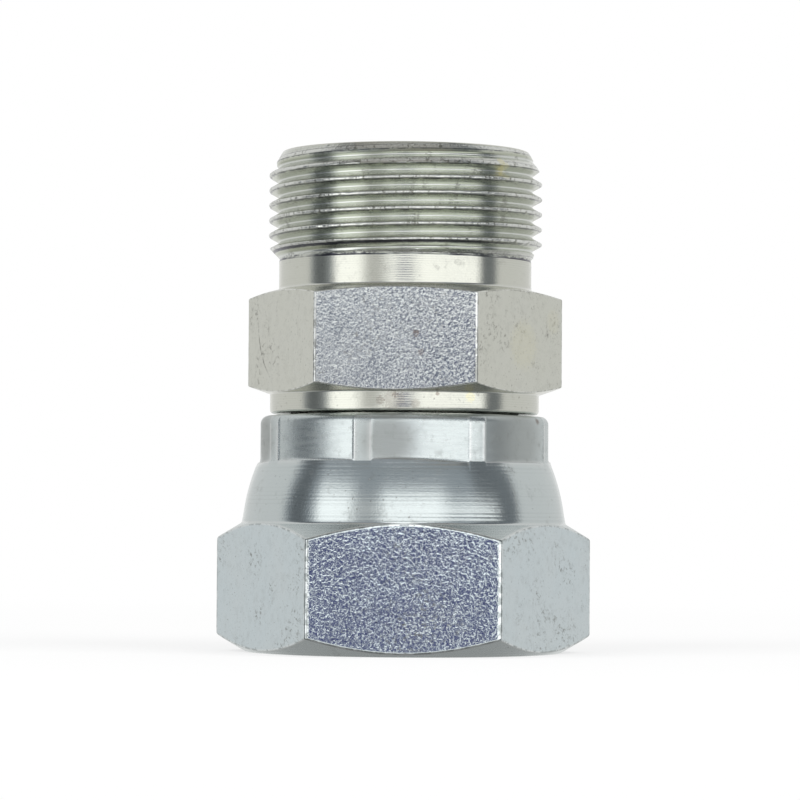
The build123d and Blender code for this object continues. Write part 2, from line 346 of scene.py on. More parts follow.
class Skin:
    """Rows of points round the flow axis, laid from the inside edge outwards and back, as one sheet."""

    def __init__(self, angles):
        self.angles = angles
        self.rows = []

    def row(self, radius, height, finish, wear=0.0):
        flat = np.ones_like(self.angles)
        self.rows.append((radius * flat, height * flat, finish, wear * flat))

    def path(self, points, rounds, finish, steps=4, wear=0.0):
        """A run of straight stretches whose corners are rounded. A corner's rows take the finish given."""
        flat = np.ones_like(self.angles)
        points = [np.array([radius * flat, height * flat]) for radius, height in points]
        self.row(*points[0], finish[0])
        for index, size in enumerate(rounds):
            before, corner, after = points[index : index + 3]
            reaches = [
                np.minimum(size, 0.45 * np.hypot(*(other - corner))) / (np.hypot(*(other - corner)) + 1e-12)
                for other in (before, after)
            ]
            start = corner + (before - corner) * reaches[0]
            end = corner + (after - corner) * reaches[1]
            for step in range(steps + 1):
                t = step / steps
                place = (1 - t) ** 2 * start + 2 * t * (1 - t) * corner + t**2 * end
                peak = 4 * t * (1 - t)
                self.row(*place, finish[index if t < 0.5 else index + 1], wear * peak)
        self.row(*points[-1], finish[-1])

    def build(self, name, finishes):
        columns = len(self.angles)
        count = len(self.rows)
        radius = np.array([row[0] for row in self.rows])
        height = np.array([row[1] for row in self.rows])
        places = np.stack([radius * np.cos(self.angles), radius * np.sin(self.angles), height], axis=-1)
        bpy.ops.object.select_all(action="DESELECT")
        bpy.ops.mesh.primitive_grid_add(x_subdivisions=columns - 1, y_subdivisions=count - 1, size=1.0)
        piece = bpy.context.object
        piece.name = name
        mesh = piece.data
        mesh.name = name
        if len(mesh.vertices) != columns * count:
            raise RuntimeError(f"{name}: the sheet has {len(mesh.vertices)} points")
        # In millimetres until the end, because the modifier below misjudges faces of very small area
        mesh.vertices.foreach_set("co", places.ravel() / MM)
        wear = mesh.attributes.new("wear", "FLOAT", "POINT")
        wear.data.foreach_set("value", np.array([row[3] for row in self.rows]).ravel())
        slots = {finish: index for index, finish in enumerate(finishes)}
        strip = np.array([slots[row[2]] for row in self.rows[:-1]])
        mesh.polygons.foreach_set("material_index", np.repeat(strip, columns - 1))
        for material in finishes.values():
            mesh.materials.append(material)
        bpy.ops.object.mode_set(mode="EDIT")
        bpy.ops.mesh.select_all(action="SELECT")
        bpy.ops.mesh.remove_doubles(threshold=MERGE_DISTANCE)
        bpy.ops.mesh.normals_make_consistent(inside=False)
        bpy.ops.object.mode_set(mode="OBJECT")
        bpy.ops.object.shade_smooth_by_angle(angle=SHARP_ANGLE)
        modifier = piece.modifiers.new("Flat faces", "WEIGHTED_NORMAL")
        modifier.keep_sharp = True
        bpy.ops.object.modifier_apply(modifier=modifier.name)
        points = np.empty(3 * len(mesh.vertices), dtype=np.float32)
        mesh.vertices.foreach_get("co", points)
        mesh.vertices.foreach_set("co", points.astype(float) * MM)
        mesh.update()
        return piece


def both_sides(offsets):
    return [sign * offset for sign in (-1, 1) for offset in offsets]


def column_angles(marks, offsets, spacing):
    """Angles of the columns: close together beside the marks, and equal steps in between."""
    close = np.add.outer(np.asarray(marks), np.asarray(offsets)).ravel() % 360
    close = np.unique(np.round(np.append(close, 0.0), 4))
    angles = []
    for start, end in zip(close, np.append(close[1:], 360.0)):
        steps = max(1, round((end - start) / spacing))
        angles.extend(np.linspace(start, end, steps, endpoint=False))
    return np.radians(np.append(angles, 360.0))


def hexagon(angles, flat_distance, turned, rounding):
    """Radius of a hexagon with rounded corners, and how near each column is to a corner."""
    sixth = math.radians(60)
    off = (angles - turned + sixth / 2) % sixth - sixth / 2
    inside = (flat_distance - rounding) / math.cos(sixth / 2)
    reach = sixth / 2 - math.atan(inside * math.sin(sixth / 2) / flat_distance)
    corner = inside * np.cos(off) + np.sqrt(np.maximum(rounding**2 - (inside * np.sin(off)) ** 2, 0))
    flat = flat_distance / np.cos(sixth / 2 - np.abs(off))
    near = np.clip(1.6 - np.abs(off) / reach, 0, 1)
    return np.where(np.abs(off) < reach, corner, flat), near


def thread_rows(thread, root, crest, steps):
    """One pitch of the thread as (height, radius): half a root, the crest, half a root."""
    pitch, half = thread.pitch, thread.land / 2
    corners = [
        (-half, root),
        (half, root),
        (pitch / 2 - half, crest),
        (pitch / 2 + half, crest),
        (pitch - half, root),
        (pitch + half, root),
    ]
    rounds = (thread.root_round, thread.crest_round, thread.crest_round, thread.root_round)
    rows = []
    for before, corner, after, size in zip(corners, corners[1:], corners[2:], rounds):
        sides = []
        for other in (before, after):
            away = np.subtract(other, corner)
            sides.append(corner + away * min(size, 0.5 * np.hypot(*away)) / np.hypot(*away))
        for step in range(steps + 1):
            t = step / steps
            rows.append((1 - t) ** 2 * sides[0] + 2 * t * (1 - t) * np.array(corner) + t**2 * sides[1])
    return rows


def thread_surface(angles, thread, root, crest, steps, first, last):
    """Heights and radii of a thread's rows, from its first root up to the last height or past it."""
    turning = angles / (2 * math.pi) * thread.pitch
    turns = math.ceil((last - first) / thread.pitch)
    profile = thread_rows(thread, root, crest, steps)
    heights = [first + n * thread.pitch + rise + turning for n in range(turns) for rise, _ in profile]
    radii = [out * np.ones_like(angles) for _ in range(turns) for _, out in profile]
    return np.array(heights), np.array(radii)


def dents(angles, heights):
    """Random dents along a thread's crest, from 0 to 1."""
    draw = np.random.default_rng(DENT_SEED)
    total = np.zeros(np.broadcast(angles, heights).shape)
    low = heights.min()
    high = heights.max()
    for _ in range(DENT_COUNT):
        middle = draw.uniform(0, 2 * math.pi)
        dent_level = draw.uniform(low, high)
        width = DENT_SIZE * draw.uniform(0.5, 1.6)
        away = (angles - middle + math.pi) % (2 * math.pi) - math.pi
        tall = draw.uniform(0.6, 1.2) * MM
        deep = draw.uniform(0.4, 1.0)
        total += deep * np.exp(-((away / width) ** 2) - ((heights - dent_level) / tall) ** 2)
    return np.clip(total, 0, 1)


def body_skin(sizes, thread):
    turn_degrees = math.degrees(sizes.hexagon_turn)
    marks = [turn_degrees + 60 * side for side in range(6)]
    angles = column_angles(marks, both_sides(BODY_CORNER_COLUMNS), COLUMN_STEP)
    skin = Skin(angles)
    hexagon_radius, near_corner = hexagon(
        angles, sizes.across_flats / 2, sizes.hexagon_turn, sizes.corner_round
    )
    low_rise = (hexagon_radius - sizes.shoulder_radius) * math.tan(sizes.bottom_slope)
    high_drop = (hexagon_radius - sizes.neck_radius) * math.tan(sizes.top_slope)
    nose_level = body_low.z
    shoulder_middle = (sizes.shoulder_bottom + sizes.hexagon_bottom) / 2

    # Nose cone, head, stem and shoulder
    skin.path(
        [
            (sizes.flow_radius, nose_level),
            (sizes.nose_radius, nose_level),
            (sizes.head_radius, sizes.head_bottom),
            (sizes.head_radius, sizes.head_top),
            (sizes.stem_radius, sizes.head_top + sizes.head_radius - sizes.stem_radius),
            (sizes.stem_radius, sizes.shoulder_bottom),
            (sizes.shoulder_radius, sizes.shoulder_bottom),
            (sizes.shoulder_radius, shoulder_middle),
        ],
        [0.3 * MM, 0.5 * MM, 0.3 * MM, 0.3 * MM, 0.2 * MM, sizes.shoulder_round],
        ["turned"] * 8,
        steps=3,
    )

    # Hexagon between its two chamfers
    skin.path(
        [
            (sizes.shoulder_radius, shoulder_middle),
            (sizes.shoulder_radius, sizes.hexagon_bottom),
            (hexagon_radius, sizes.hexagon_bottom + low_rise),
            (hexagon_radius, sizes.hexagon_top - high_drop),
            (sizes.neck_radius, sizes.hexagon_top),
            (sizes.neck_radius, (sizes.hexagon_top + sizes.neck_top) / 2),
        ],
        [0.5 * sizes.root_round, sizes.edge_round, sizes.edge_round, sizes.root_round],
        ["turned", "turned", "etched", "turned", "turned", "turned"],
        wear=1.0,
    )
    mark_corners(skin, "etched", near_corner)

    # Ragged little groove where the neck ends, and the male thread
    ragged = 0.5 + 0.5 * np.sin(23 * angles + 2 * np.sin(9 * angles)) * np.sin(14 * angles + 0.7)
    for rise, drop in ((-0.55, 0.0), (-0.40, 0.25), (-0.30, 1.0), (-0.18, 1.0), (-0.06, 0.1)):
        cut = sizes.neck_groove * drop * (0.45 + 0.55 * ragged)
        skin.row(sizes.neck_radius - cut, sizes.neck_top + rise * MM, "thread")
    end = body_high.z
    top = end - 0.25 * MM
    first = sizes.neck_top - sizes.groove_drop - thread.pitch
    heights, radii = thread_surface(angles, thread, THREAD_MINOR, THREAD_MAJOR, 3, first, top)
    crest = np.clip((radii - THREAD_MINOR) / (THREAD_MAJOR - THREAD_MINOR), 0, 1)
    radii = radii - thread.nick * crest**3 * dents(angles, heights)
    heights = np.clip(heights, sizes.neck_top, top)
    envelope = np.minimum(
        sizes.neck_radius + np.maximum(heights - sizes.neck_top, 0),
        np.minimum(THREAD_MAJOR, sizes.end_radius + (end - heights) * math.tan(sizes.end_slope)),
    )
    limited = np.minimum(radii, envelope)
    limited[heights <= sizes.neck_top] = sizes.neck_radius
    for radius, height, share in zip(limited, heights, crest):
        skin.row(radius, height, "thread", share**4)

    # End face, sealing seat and flow bore
    seat_depth = (sizes.seat_radius - sizes.flow_radius) / math.tan(sizes.seat_slope)
    skin.path(
        [
            (sizes.end_radius + (end - top) * math.tan(sizes.end_slope), top),
            (sizes.end_radius, end),
            (sizes.seat_radius, end),
            (sizes.flow_radius, end - seat_depth),
            (sizes.flow_radius, nose_level),
        ],
        [0.2 * MM, 0.15 * MM, 0.3 * MM],
        ["turned", "turned", "turned", "bore", "bore"],
        steps=3,
    )
    return skin


def mark_corners(skin, finish, near_corner):
    """Raises the wear of a hexagon's rows along its corners."""
    for index, (radius, height, name, wear) in enumerate(skin.rows):
        beside = index and skin.rows[index - 1][2] == finish
        if name == finish or beside:
            skin.rows[index] = (radius, height, name, np.maximum(wear, near_corner))


def nut_skin(sizes, thread):
    eighth = 360 / RIBS
    rib_marks = [math.degrees(sizes.ribs_turn) + eighth * n for n in range(RIBS)]
    half_rib = math.degrees(sizes.rib_width) / 2
    side = math.degrees(sizes.rib_side)
    corners = column_angles([60 * n for n in range(6)], both_sides(NUT_CORNER_COLUMNS), COLUMN_STEP)
    corners = np.degrees(corners)[:-1]
    rib_offsets = both_sides([half_rib + side * part for part in RIB_SIDE_COLUMNS])
    rib_angles = np.degrees(column_angles(rib_marks, rib_offsets, 360))[:-1]
    gap = np.abs((corners[:, None] - rib_angles[None, :] + 180) % 360 - 180).min(axis=1)
    beside_corner = np.abs((corners + 30) % 60 - 30) < 1.2
    angles = np.sort(np.concatenate([corners[(gap > RIB_CLEARANCE) | beside_corner], rib_angles]))
    angles = angles[np.concatenate([[True], np.diff(angles) > CLOSEST_COLUMNS])]
    angles = np.radians(np.append(angles, angles[0] + 360))
    skin = Skin(angles)
    hexagon_radius, near_corner = hexagon(angles, nut_high.y, 0.0, sizes.corner_round)
    low_rise = (hexagon_radius - sizes.rim_radius) * math.tan(sizes.rim_slope)
    high_drop = (hexagon_radius - sizes.foot_radius) * math.tan(sizes.top_slope)
    lip = 0.1 * MM

    # Rim, hexagon and the foot of the dome
    dome_bottom = sizes.hexagon_top + sizes.dome_rise
    skin.path(
        [
            (sizes.mouth_radius - lip, lip),
            (sizes.mouth_radius, 0),
            (sizes.rim_radius, 0),
            (hexagon_radius, low_rise),
            (hexagon_radius, sizes.hexagon_top - high_drop),
            (sizes.foot_radius, sizes.hexagon_top),
            (sizes.dome_radius, dome_bottom),
        ],
        [0.05 * MM, 0.2 * MM, sizes.edge_round, sizes.edge_round, 0.3 * MM],
        ["turned", "turned", "rim", "etched", "cone", "dome", "dome"],
        wear=1.0,
    )
    mark_corners(skin, "etched", near_corner)

    # Dome, on an arc that bulges outwards
    chord = np.array([sizes.rib_radius - sizes.dome_radius, sizes.press_bottom - dome_bottom])
    middle = np.array([sizes.dome_radius, dome_bottom]) + chord / 2
    inwards = np.array([-chord[1], chord[0]]) / np.hypot(*chord)
    centre = middle + inwards * math.sqrt(sizes.dome_curve**2 - (np.hypot(*chord) / 2) ** 2)
    for step in range(1, DOME_ROWS):
        height = dome_bottom + chord[1] * step / DOME_ROWS
        skin.row(centre[0] + math.sqrt(sizes.dome_curve**2 - (height - centre[1]) ** 2), height, "dome")

    # Collar with its pressed flats
    off = np.abs((np.degrees(angles) - rib_marks[0] + eighth / 2) % eighth - eighth / 2)
    down = np.clip((off - half_rib) / side, 0, 1)
    pressed = down**2 * (3 - 2 * down)
    across = np.clip((eighth / 2 - off) / (eighth / 2 - half_rib), 0, 1)
    depth_here = sizes.press_depth + (sizes.press_edge - sizes.press_depth) * across**2
    lip_line = np.exp(-(((off - half_rib + 0.3) / 0.5) ** 2))
    wander = 0.16 * MM * np.sin(3 * angles + 1.0) + 0.1 * MM * np.sin(7 * angles + 0.4)
    top = nut_high.z
    flat_top = top - sizes.top_round
    for share, depth in ((0.0, 0.0), (0.04, 0.35), (0.16, 0.62), (0.4, 0.86), (0.7, 0.97), (1.0, 1.0)):
        height = sizes.press_bottom + share * sizes.press_rise + wander * pressed
        radius = sizes.rib_radius - depth_here * pressed * depth + sizes.burr * lip_line * depth
        skin.row(radius, height, "crimp", pressed * (1 - depth) + lip_line * depth)
    face = sizes.rib_radius - depth_here * pressed
    middle_height = (sizes.press_bottom + flat_top) / 2
    skin.row(face + sizes.burr * lip_line, middle_height, "crimp", lip_line)
    skin.row(face + sizes.burr * lip_line * 0.5, flat_top - 0.3 * MM, "crimp", lip_line)
    for step in range(COLLAR_EDGE_ROWS + 1):
        bend = math.pi / 2 * step / COLLAR_EDGE_ROWS
        radius = face - sizes.top_round * (1 - math.cos(bend))
        skin.row(radius, flat_top + sizes.top_round * math.sin(bend), "crimp", 0.35 * lip_line)

    # Collar bore, inner shoulder, head bore and relief
    bore_start = top - sizes.bore_length
    head_end = bore_start - (sizes.head_radius - sizes.bore_radius)
    head_start = head_end - sizes.head_length
    relief_end = head_start - (sizes.relief_radius - sizes.head_radius)
    thread_top = relief_end - sizes.relief_length
    thread_end = thread_top - (sizes.relief_radius - THREAD_MINOR)
    skin.path(
        [
            (face - sizes.top_round, top),
            (sizes.bore_radius + sizes.bore_chamfer, top),
            (sizes.bore_radius, top - sizes.bore_chamfer),
            (sizes.bore_radius, bore_start),
            (sizes.head_radius, head_end),
            (sizes.head_radius, head_start),
            (sizes.relief_radius, relief_end),
            (sizes.relief_radius, thread_top),
        ],
        [0.1 * MM, 0.1 * MM, 0.2 * MM, 0.2 * MM, 0.2 * MM, 0.2 * MM],
        ["turned", "turned", "bore", "bore", "bore", "bore", "bore", "bore"],
        steps=2,
    )

    # Female thread, downwards to the mouth
    first = FEMALE_START * thread.pitch
    heights, radii = thread_surface(angles, thread, THREAD_MAJOR, THREAD_MINOR, 2, first, thread_top)
    heights = np.clip(heights, lip, thread_top)
    envelope = np.maximum(sizes.mouth_radius - heights, THREAD_MINOR + heights - thread_end)
    limited = np.maximum(radii, envelope)
    limited[heights >= thread_top] = sizes.relief_radius
    limited[heights <= lip] = sizes.mouth_radius - lip
    for radius, height in zip(limited[::-1], heights[::-1]):
        skin.row(radius, height, "thread")
    return skin


# Brown specks and yellow stains on the body: place and reach in millimetres, and strength
BODY_RUST = (
    ((1.67, -21.1, 47.8), 0.85, 0.6),
    ((2.41, -21.15, 45.0), 0.8, 0.35),
    ((-3.6, -20.3, 37.9), 1.1, 0.3),
    ((-1.4, -20.6, 38.7), 0.8, 0.35),
    ((1.6, -20.6, 37.4), 1.2, 0.25),
    ((4.9, -20.0, 38.9), 0.5, 0.45),
    ((-1.6, -20.5, 38.0), 2.6, 0.22),
)
BODY_STAINS = (
    ((9.8, -18.1, 38.5), 1.3, 0.6),
    ((14.85, -14.0, 72.5), 2.0, 0.7),
    ((14.3, -14.5, 74.0), 1.2, 0.6),
)

# A curved scratch on the body's left flat: the arc's centre and radius, and the stretch of it that shows
BODY_SCRATCHES = (((-17.55, -11.8, 50.63), 11.06, (-21.9, -2.9, 45.9), 5.5),)

# Faint yellowish smudges on the body's right flat
BODY_SMUDGES = (((17.9, -10.9, 46.6), 6.0, 0.22), ((22.6, -3.9, 50.5), 3.0, 0.15))

# Where wrenches have scuffed the flats: place and reach, in millimetres
BODY_SCUFFS = (((-23.0, -7.0, 46.0), 4.0), ((19.0, -13.0, 49.0), 4.5), ((21.5, -9.0, 43.5), 3.0))
NUT_SCUFFS = (
    ((-22.5, -10.7, 14.0), 3.5),
    ((-21.5, -12.5, 6.0), 2.5),
    ((20.0, -15.0, 9.5), 3.0),
    ((24.5, -7.2, 3.0), 5.0),
    ((25.0, -6.4, 12.0), 3.0),
)


class Finish(Graph):
    """A metal finish: places in millimetres, and the marks that all the finishes share."""

    def __init__(self, name, settings):
        self.material = bpy.data.materials.new(name)
        self.material.use_nodes = True
        super().__init__(self.material.node_tree)
        self.settings = settings
        here = self.add("TexCoord", output=3)
        self.place = self.vector("MULTIPLY", here, (1 / MM, 1 / MM, 1 / MM))
        self.x, self.y, self.z = (self.part(self.place, index) for index in range(3))
        self.radius = (self.x * self.x + self.y * self.y) ** 0.5
        self.around = self.y.maths("ARCTAN2", self.y, self.x)
        self.wear = self.add("Attribute", output=2, attribute_name="wear")

    def along(self, stretch):
        """Places stretched along the turning direction, so that noise on them makes rings."""
        return self.joined(self.around * stretch, self.radius, self.z)

    def spot(self, place, size):
        """A soft round mask about a place given in millimetres."""
        away = self.vector("DISTANCE", self.place, place, output=1)
        return 1.0 - self.smooth(away, 0.35 * size, size)

    def scuffed(self, amount, colour):
        return self.colour(amount, colour, self.settings.scuff_colour)

    def soiled(self, colour, rust, stains):
        """The colour with grainy brown specks and yellow stains at the places given."""
        grain = 2.4 * (self.noise(self.place, 4.0, 3.0, 0.65) - 0.52)
        for marks, shade in ((rust, self.settings.rust_colour), (stains, self.settings.stain_colour)):
            for place, size, strength in marks:
                spread = self.smooth(self.spot(place, size) + grain, 0.40, 0.95)
                colour = self.colour(strength * spread, colour, shade)
        return colour

    def close(self, colour, roughness, normal, anisotropy=0.0):
        values = {
            "Base Color": colour,
            "Metallic": 1.0,
            "Roughness": roughness,
            "Anisotropic": anisotropy,
            "Anisotropic Rotation": 0.25,
            "Normal": normal,
        }
        self.add("OutputMaterial", {"Surface": self.add("BsdfPrincipled", values)})
        return self.material


def turned_finish(name, colour, settings, feed, ring_depth, roughness, anisotropy, rust=(), stains=()):
    """Turned and plated: tool lines one feed apart, faint rings, grey grime and small specks."""
    f = Finish(name, settings)
    lines = f.z.maths("SINE", f.z * (2 * math.pi / feed) + 3.0 * f.noise(f.along(0.3), 0.6))
    strength = f.smooth(f.noise(f.along(0.5), 0.5, 2.0, 0.6), 0.30, 0.62)
    rings = f.noise(f.along(0.35), 2.9, 3.0, 0.65)
    grain = f.noise(f.place, 3.2, 3.0, 0.6)
    grime = f.smooth(f.noise(f.place, 0.35, 4.0, 0.7), 0.56, 0.75)
    specks = f.smooth(f.noise(f.place, 1.9, 2.0, 0.5), 0.69, 0.75)
    base = f.scuffed((-0.07 * lines * strength).clamped() + 0.20 * grime, colour)
    base = f.scuffed(0.5 * specks, base)
    base = f.colour(0.35 * f.wear, base, (0.86, 0.87, 0.86))
    base = f.soiled(base, rust, stains)
    rough = (roughness + 0.16 * (grain - 0.5) + 0.12 * grime - 0.06 * f.wear).clamped()
    height = 0.26 * lines * strength + rings + 0.55 * grain
    return f.close(base, rough, f.bump(height, ring_depth * MM), anisotropy)


def etched_finish(
    name, colour, settings, pits, depth, roughness, marks, front=(), rust=(), smudges=(), scratches=()
):
    """Hexagon flats: a pitted, speckled skin under the plating, scuffed by wrenches.

    The front's colour, direction and distance give the flat that faces the camera a painted reflection of
    the dim room before it: a bluer tone and dark navy pits. They also leave its left side smoother.
    """
    f = Finish(name, settings)
    fine = f.noise(f.place, 2.4 * pits, 1.0, 0.5)
    height = f.noise(f.place, pits, 1.0, 0.5, 0.35) + 0.22 * fine
    height = height * (1.0 - 0.6 * f.wear)
    # Painted reflection on the flat that faces the camera: a bluer tone, with dark navy pits that grow
    # darker towards its right
    if front:
        shade, direction, distance = front
        out = f.vector("DOT_PRODUCT", f.place, direction, output=1)
        height = height * (0.85 + 0.5 * f.smooth(f.x, -12.0, 12.0))
        ahead = f.smooth(out, distance - 0.3, distance - 0.05)
        colour = f.colour(ahead, colour, shade)
        # The pits are painted dark navy, a painted reflection of the dim room, cloudy and darker towards
        # the right
        cloudy = f.smooth(f.noise(f.place, 0.16, 2.0, 0.5), 0.38, 0.62)
        deep = 1.0 - f.smooth(f.noise(f.place, 1.25 * pits, 2.0, 0.6), 0.40, 0.53)
        deep = deep * (0.35 + 0.40 * cloudy + 0.35 * f.smooth(f.x, -3.0, 8.0))
        colour = f.colour(0.85 * ahead * deep * (1.0 - f.wear), colour, settings.pit_reflection_colour)
    rub = f.smooth(f.noise(f.place, 0.8, 3.0, 0.65), 0.42, 0.56)
    patches = f.noise(f.place, 0.12, 3.0, 0.6)
    streaks = f.noise(f.vector("MULTIPLY", f.place, (1.1, 1.1, 1.25)), 1.1, 4.0, 0.75)
    lines = 1.0 - f.smooth((f.noise(f.place, 0.22, 0.0) - 0.5).size(), 0.001, 0.006)
    areas = f.smooth(f.noise(f.place, 0.14, 2.0, 0.5), 0.50, 0.66)
    for place, size in marks:
        areas = areas.larger(f.spot(place, size))
    scuffs = f.smooth(streaks, 0.52, 0.66) * areas
    specks = f.smooth(f.noise(f.place, 2.6, 2.0, 0.6), 0.635, 0.72)
    mottle = f.smooth(f.noise(f.place, 0.7, 4.0, 0.65), 0.45, 0.75)
    base = f.colour((0.5 * (patches - 0.35)).clamped(), colour, (0.74, 0.75, 0.73))
    for amount in (0.12 * mottle, 0.7 * scuffs, 0.45 * specks, 0.35 * lines * mottle):
        base = f.scuffed(amount, base)
    base = f.colour(0.5 * f.wear * rub, base, (0.90, 0.91, 0.90))
    base = f.scuffed(0.55 * f.wear * (1.0 - rub), base)
    for centre, radius, place, reach in scratches:
        away = (f.vector("DISTANCE", f.place, centre, output=1) - radius + 0.5 * (patches - 0.5)).size()
        scratch = (1.0 - f.smooth(away, 0.06, 0.24)) * f.spot(place, reach) * f.smooth(streaks, 0.36, 0.50)
        base = f.scuffed(0.75 * scratch, base)
    base = f.soiled(base, rust, smudges)
    rough = (roughness + 0.08 * (fine - 0.5) + 0.12 * scuffs - 0.04 * f.wear).clamped()
    return f.close(base, rough, f.bump(height, depth * MM))


def thread_finish(name, colour, settings, pitch, start, run_out, stains=()):
    """Thread flanks: greenish plating with tool rings, painted shade beside the crests, on the lower flanks
    and in the last groove, a painted highlight along the roots, and crests dented by handling.

    The phase runs from root (0) over the flank below to the crest (0.5), and over the flank above it (1).
    """
    f = Finish(name, settings)
    phase = f.z.maths("FRACT", (f.z - start) / pitch - f.around / (2 * math.pi) + 50.0)
    rings = f.noise(f.along(0.6), 4.0, 3.0, 0.6)
    grain = f.noise(f.place, 2.4, 3.0, 0.65)
    knocks = f.noise(f.along(24.0), 1.3, 3.0, 0.7)
    ragged = f.noise(f.along(14.0), 1.2, 3.0, 0.6)
    marks = f.smooth(f.noise(f.along(9.0), 0.8, 3.0, 0.7), 0.60, 0.68)
    uneven = phase + 0.10 * (ragged - 0.5)
    # Painted shade: thin dark lines under and over each crest, in the last groove above the neck and at the
    # thread's foot
    below = f.band(uneven, 0.33, 0.392, 0.03, 0.012)
    above = f.band(uneven, 0.615, 0.66, 0.012, 0.02)
    last = 1.0 - f.smooth(f.z, run_out + 1.5, run_out + 1.8)
    last_groove_shade = f.band(uneven, 0.28, 0.44, 0.03, 0.02) * last
    foot = 1.0 - f.smooth(f.z + 1.2 * (ragged - 0.5), run_out - 0.30, run_out - 0.05)
    foot = foot * f.smooth(f.noise(f.along(3.0), 0.9, 3.0, 0.6), 0.36, 0.54)
    # Painted shade: darker, greener colour on the down-facing flank below each crest
    base = f.colour(0.75 * f.band(phase, 0.10, 0.40, 0.08, 0.05), colour, settings.lower_flank_shade_colour)
    # Painted highlight: the colour lightens towards the roots
    base = f.colour(0.55 * (1.0 - f.band(phase, 0.06, 0.86, 0.06, 0.06)), base, (0.84, 0.87, 0.85))
    base = f.scuffed(0.45 * marks, base)
    nicked = f.smooth(knocks, 0.54, 0.64)
    base = f.colour(0.6 * f.wear * (1.0 - nicked), base, (0.88, 0.89, 0.88))
    base = f.scuffed(0.6 * f.wear * nicked, base)
    # All the painted shade of the thread, laid on as one dark colour
    painted_shade = (0.75 * below * f.smooth(ragged, 0.36, 0.52)).larger(0.45 * above)
    painted_shade = painted_shade.larger(0.92 * last_groove_shade).larger(0.9 * foot)
    base = f.colour(painted_shade, base, settings.groove_shade_colour)
    base = f.soiled(base, (), stains)
    rough = (0.21 + 0.16 * (grain - 0.5) - 0.04 * f.wear).clamped()
    height = rings + 0.6 * grain + 7.0 * knocks * f.wear
    return f.close(base, rough, f.bump(height, 0.012 * MM), 0.45)


def crimp_finish(name, colour, settings):
    """Collar pressed by jaws: metal smeared along the circumference, rougher and darker in three patches on
    the flats; the darkening is painted shade.
    """
    f = Finish(name, settings)
    smears = f.noise(f.along(2.5), 1.5, 5.0, 0.7, 0.4)
    lines = f.noise(f.along(0.5), 3.4, 3.0, 0.6)
    grain = f.noise(f.place, 1.6, 3.0, 0.6)
    dark = f.smooth(f.noise(f.place, 0.5, 4.0, 0.7), 0.50, 0.75)
    # Three patches on the flats: rougher plating, and a darker colour that is painted shade
    dull_and_shaded = (0.75 * f.spot((17.2, -14.5, 32.0), 9.5)).larger(f.spot((-21.4, -6.3, 32.5), 6.5))
    dull_and_shaded = dull_and_shaded.larger(0.9 * f.spot((-2.4, -22.0, 31.9), 5.5))
    rust = f.spot((20.4, -9.4, 35.3), 0.9)
    base = f.scuffed(0.25 * dark, colour)
    base = f.scuffed(0.5 * dull_and_shaded, base)
    base = f.colour(0.6 * f.wear, base, (0.90, 0.91, 0.91))
    base = f.colour(0.7 * rust, base, settings.rust_colour)
    rough = (0.27 + 0.25 * (smears - 0.5) + 0.1 * dark + 0.12 * dull_and_shaded).clamped()
    return f.close(base, rough, f.bump(smears + 0.7 * lines + 0.5 * grain, 0.024 * MM), 0.2)


def bore_finish(name, colour, settings):
    """Bored surfaces: duller plating with coarse rings."""
    f = Finish(name, settings)
    rings = f.noise(f.along(0.3), 2.2, 3.0, 0.6)
    grime = f.smooth(f.noise(f.place, 0.4, 4.0, 0.7), 0.45, 0.75)
    base = f.scuffed(0.4 * grime, colour)
    rough = (0.36 + 0.15 * grime).clamped()
    return f.close(base, rough, f.bump(rings, 0.02 * MM), 0.4)


class FITTING_OT_body(bpy.types.Operator):
    """Model the adapter body and give it its finish"""

    bl_idname = "fitting.body"
    bl_label = "Adapter body"

    def execute(self, context):
        settings = context.scene.fitting_finish
        sizes = context.scene.fitting_body
        thread = context.scene.fitting_thread
        colour = settings.body_colour
        # The flat that faces the camera takes a painted reflection of the dim room: a bluer tone and dark
        # navy pits
        facing = (math.sin(sizes.hexagon_turn), -math.cos(sizes.hexagon_turn), 0.0)
        front = (settings.front_reflection_colour, facing, sizes.across_flats / 2 / MM)
        male_thread = (thread.pitch / MM, (sizes.neck_top - sizes.groove_drop) / MM, sizes.neck_top / MM)
        finishes = {
            "turned": turned_finish(
                "body_turned", colour, settings, 0.35, 0.012, 0.19, 0.7, BODY_RUST, BODY_STAINS
            ),
            "etched": etched_finish(
                "body_hexagon", colour, settings, 2.3, 0.025, 0.13, BODY_SCUFFS,
                front, BODY_RUST, BODY_SMUDGES, BODY_SCRATCHES,
            ),
            "thread": thread_finish(
                "body_thread", settings.thread_colour, settings, *male_thread, BODY_STAINS
            ),
            "bore": bore_finish("body_bore", settings.bore_colour, settings),
        }
        piece = body_skin(sizes, thread).build("body_finish", finishes)
        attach(piece, "adapter")
        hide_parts("adapter_body")
        return {"FINISHED"}


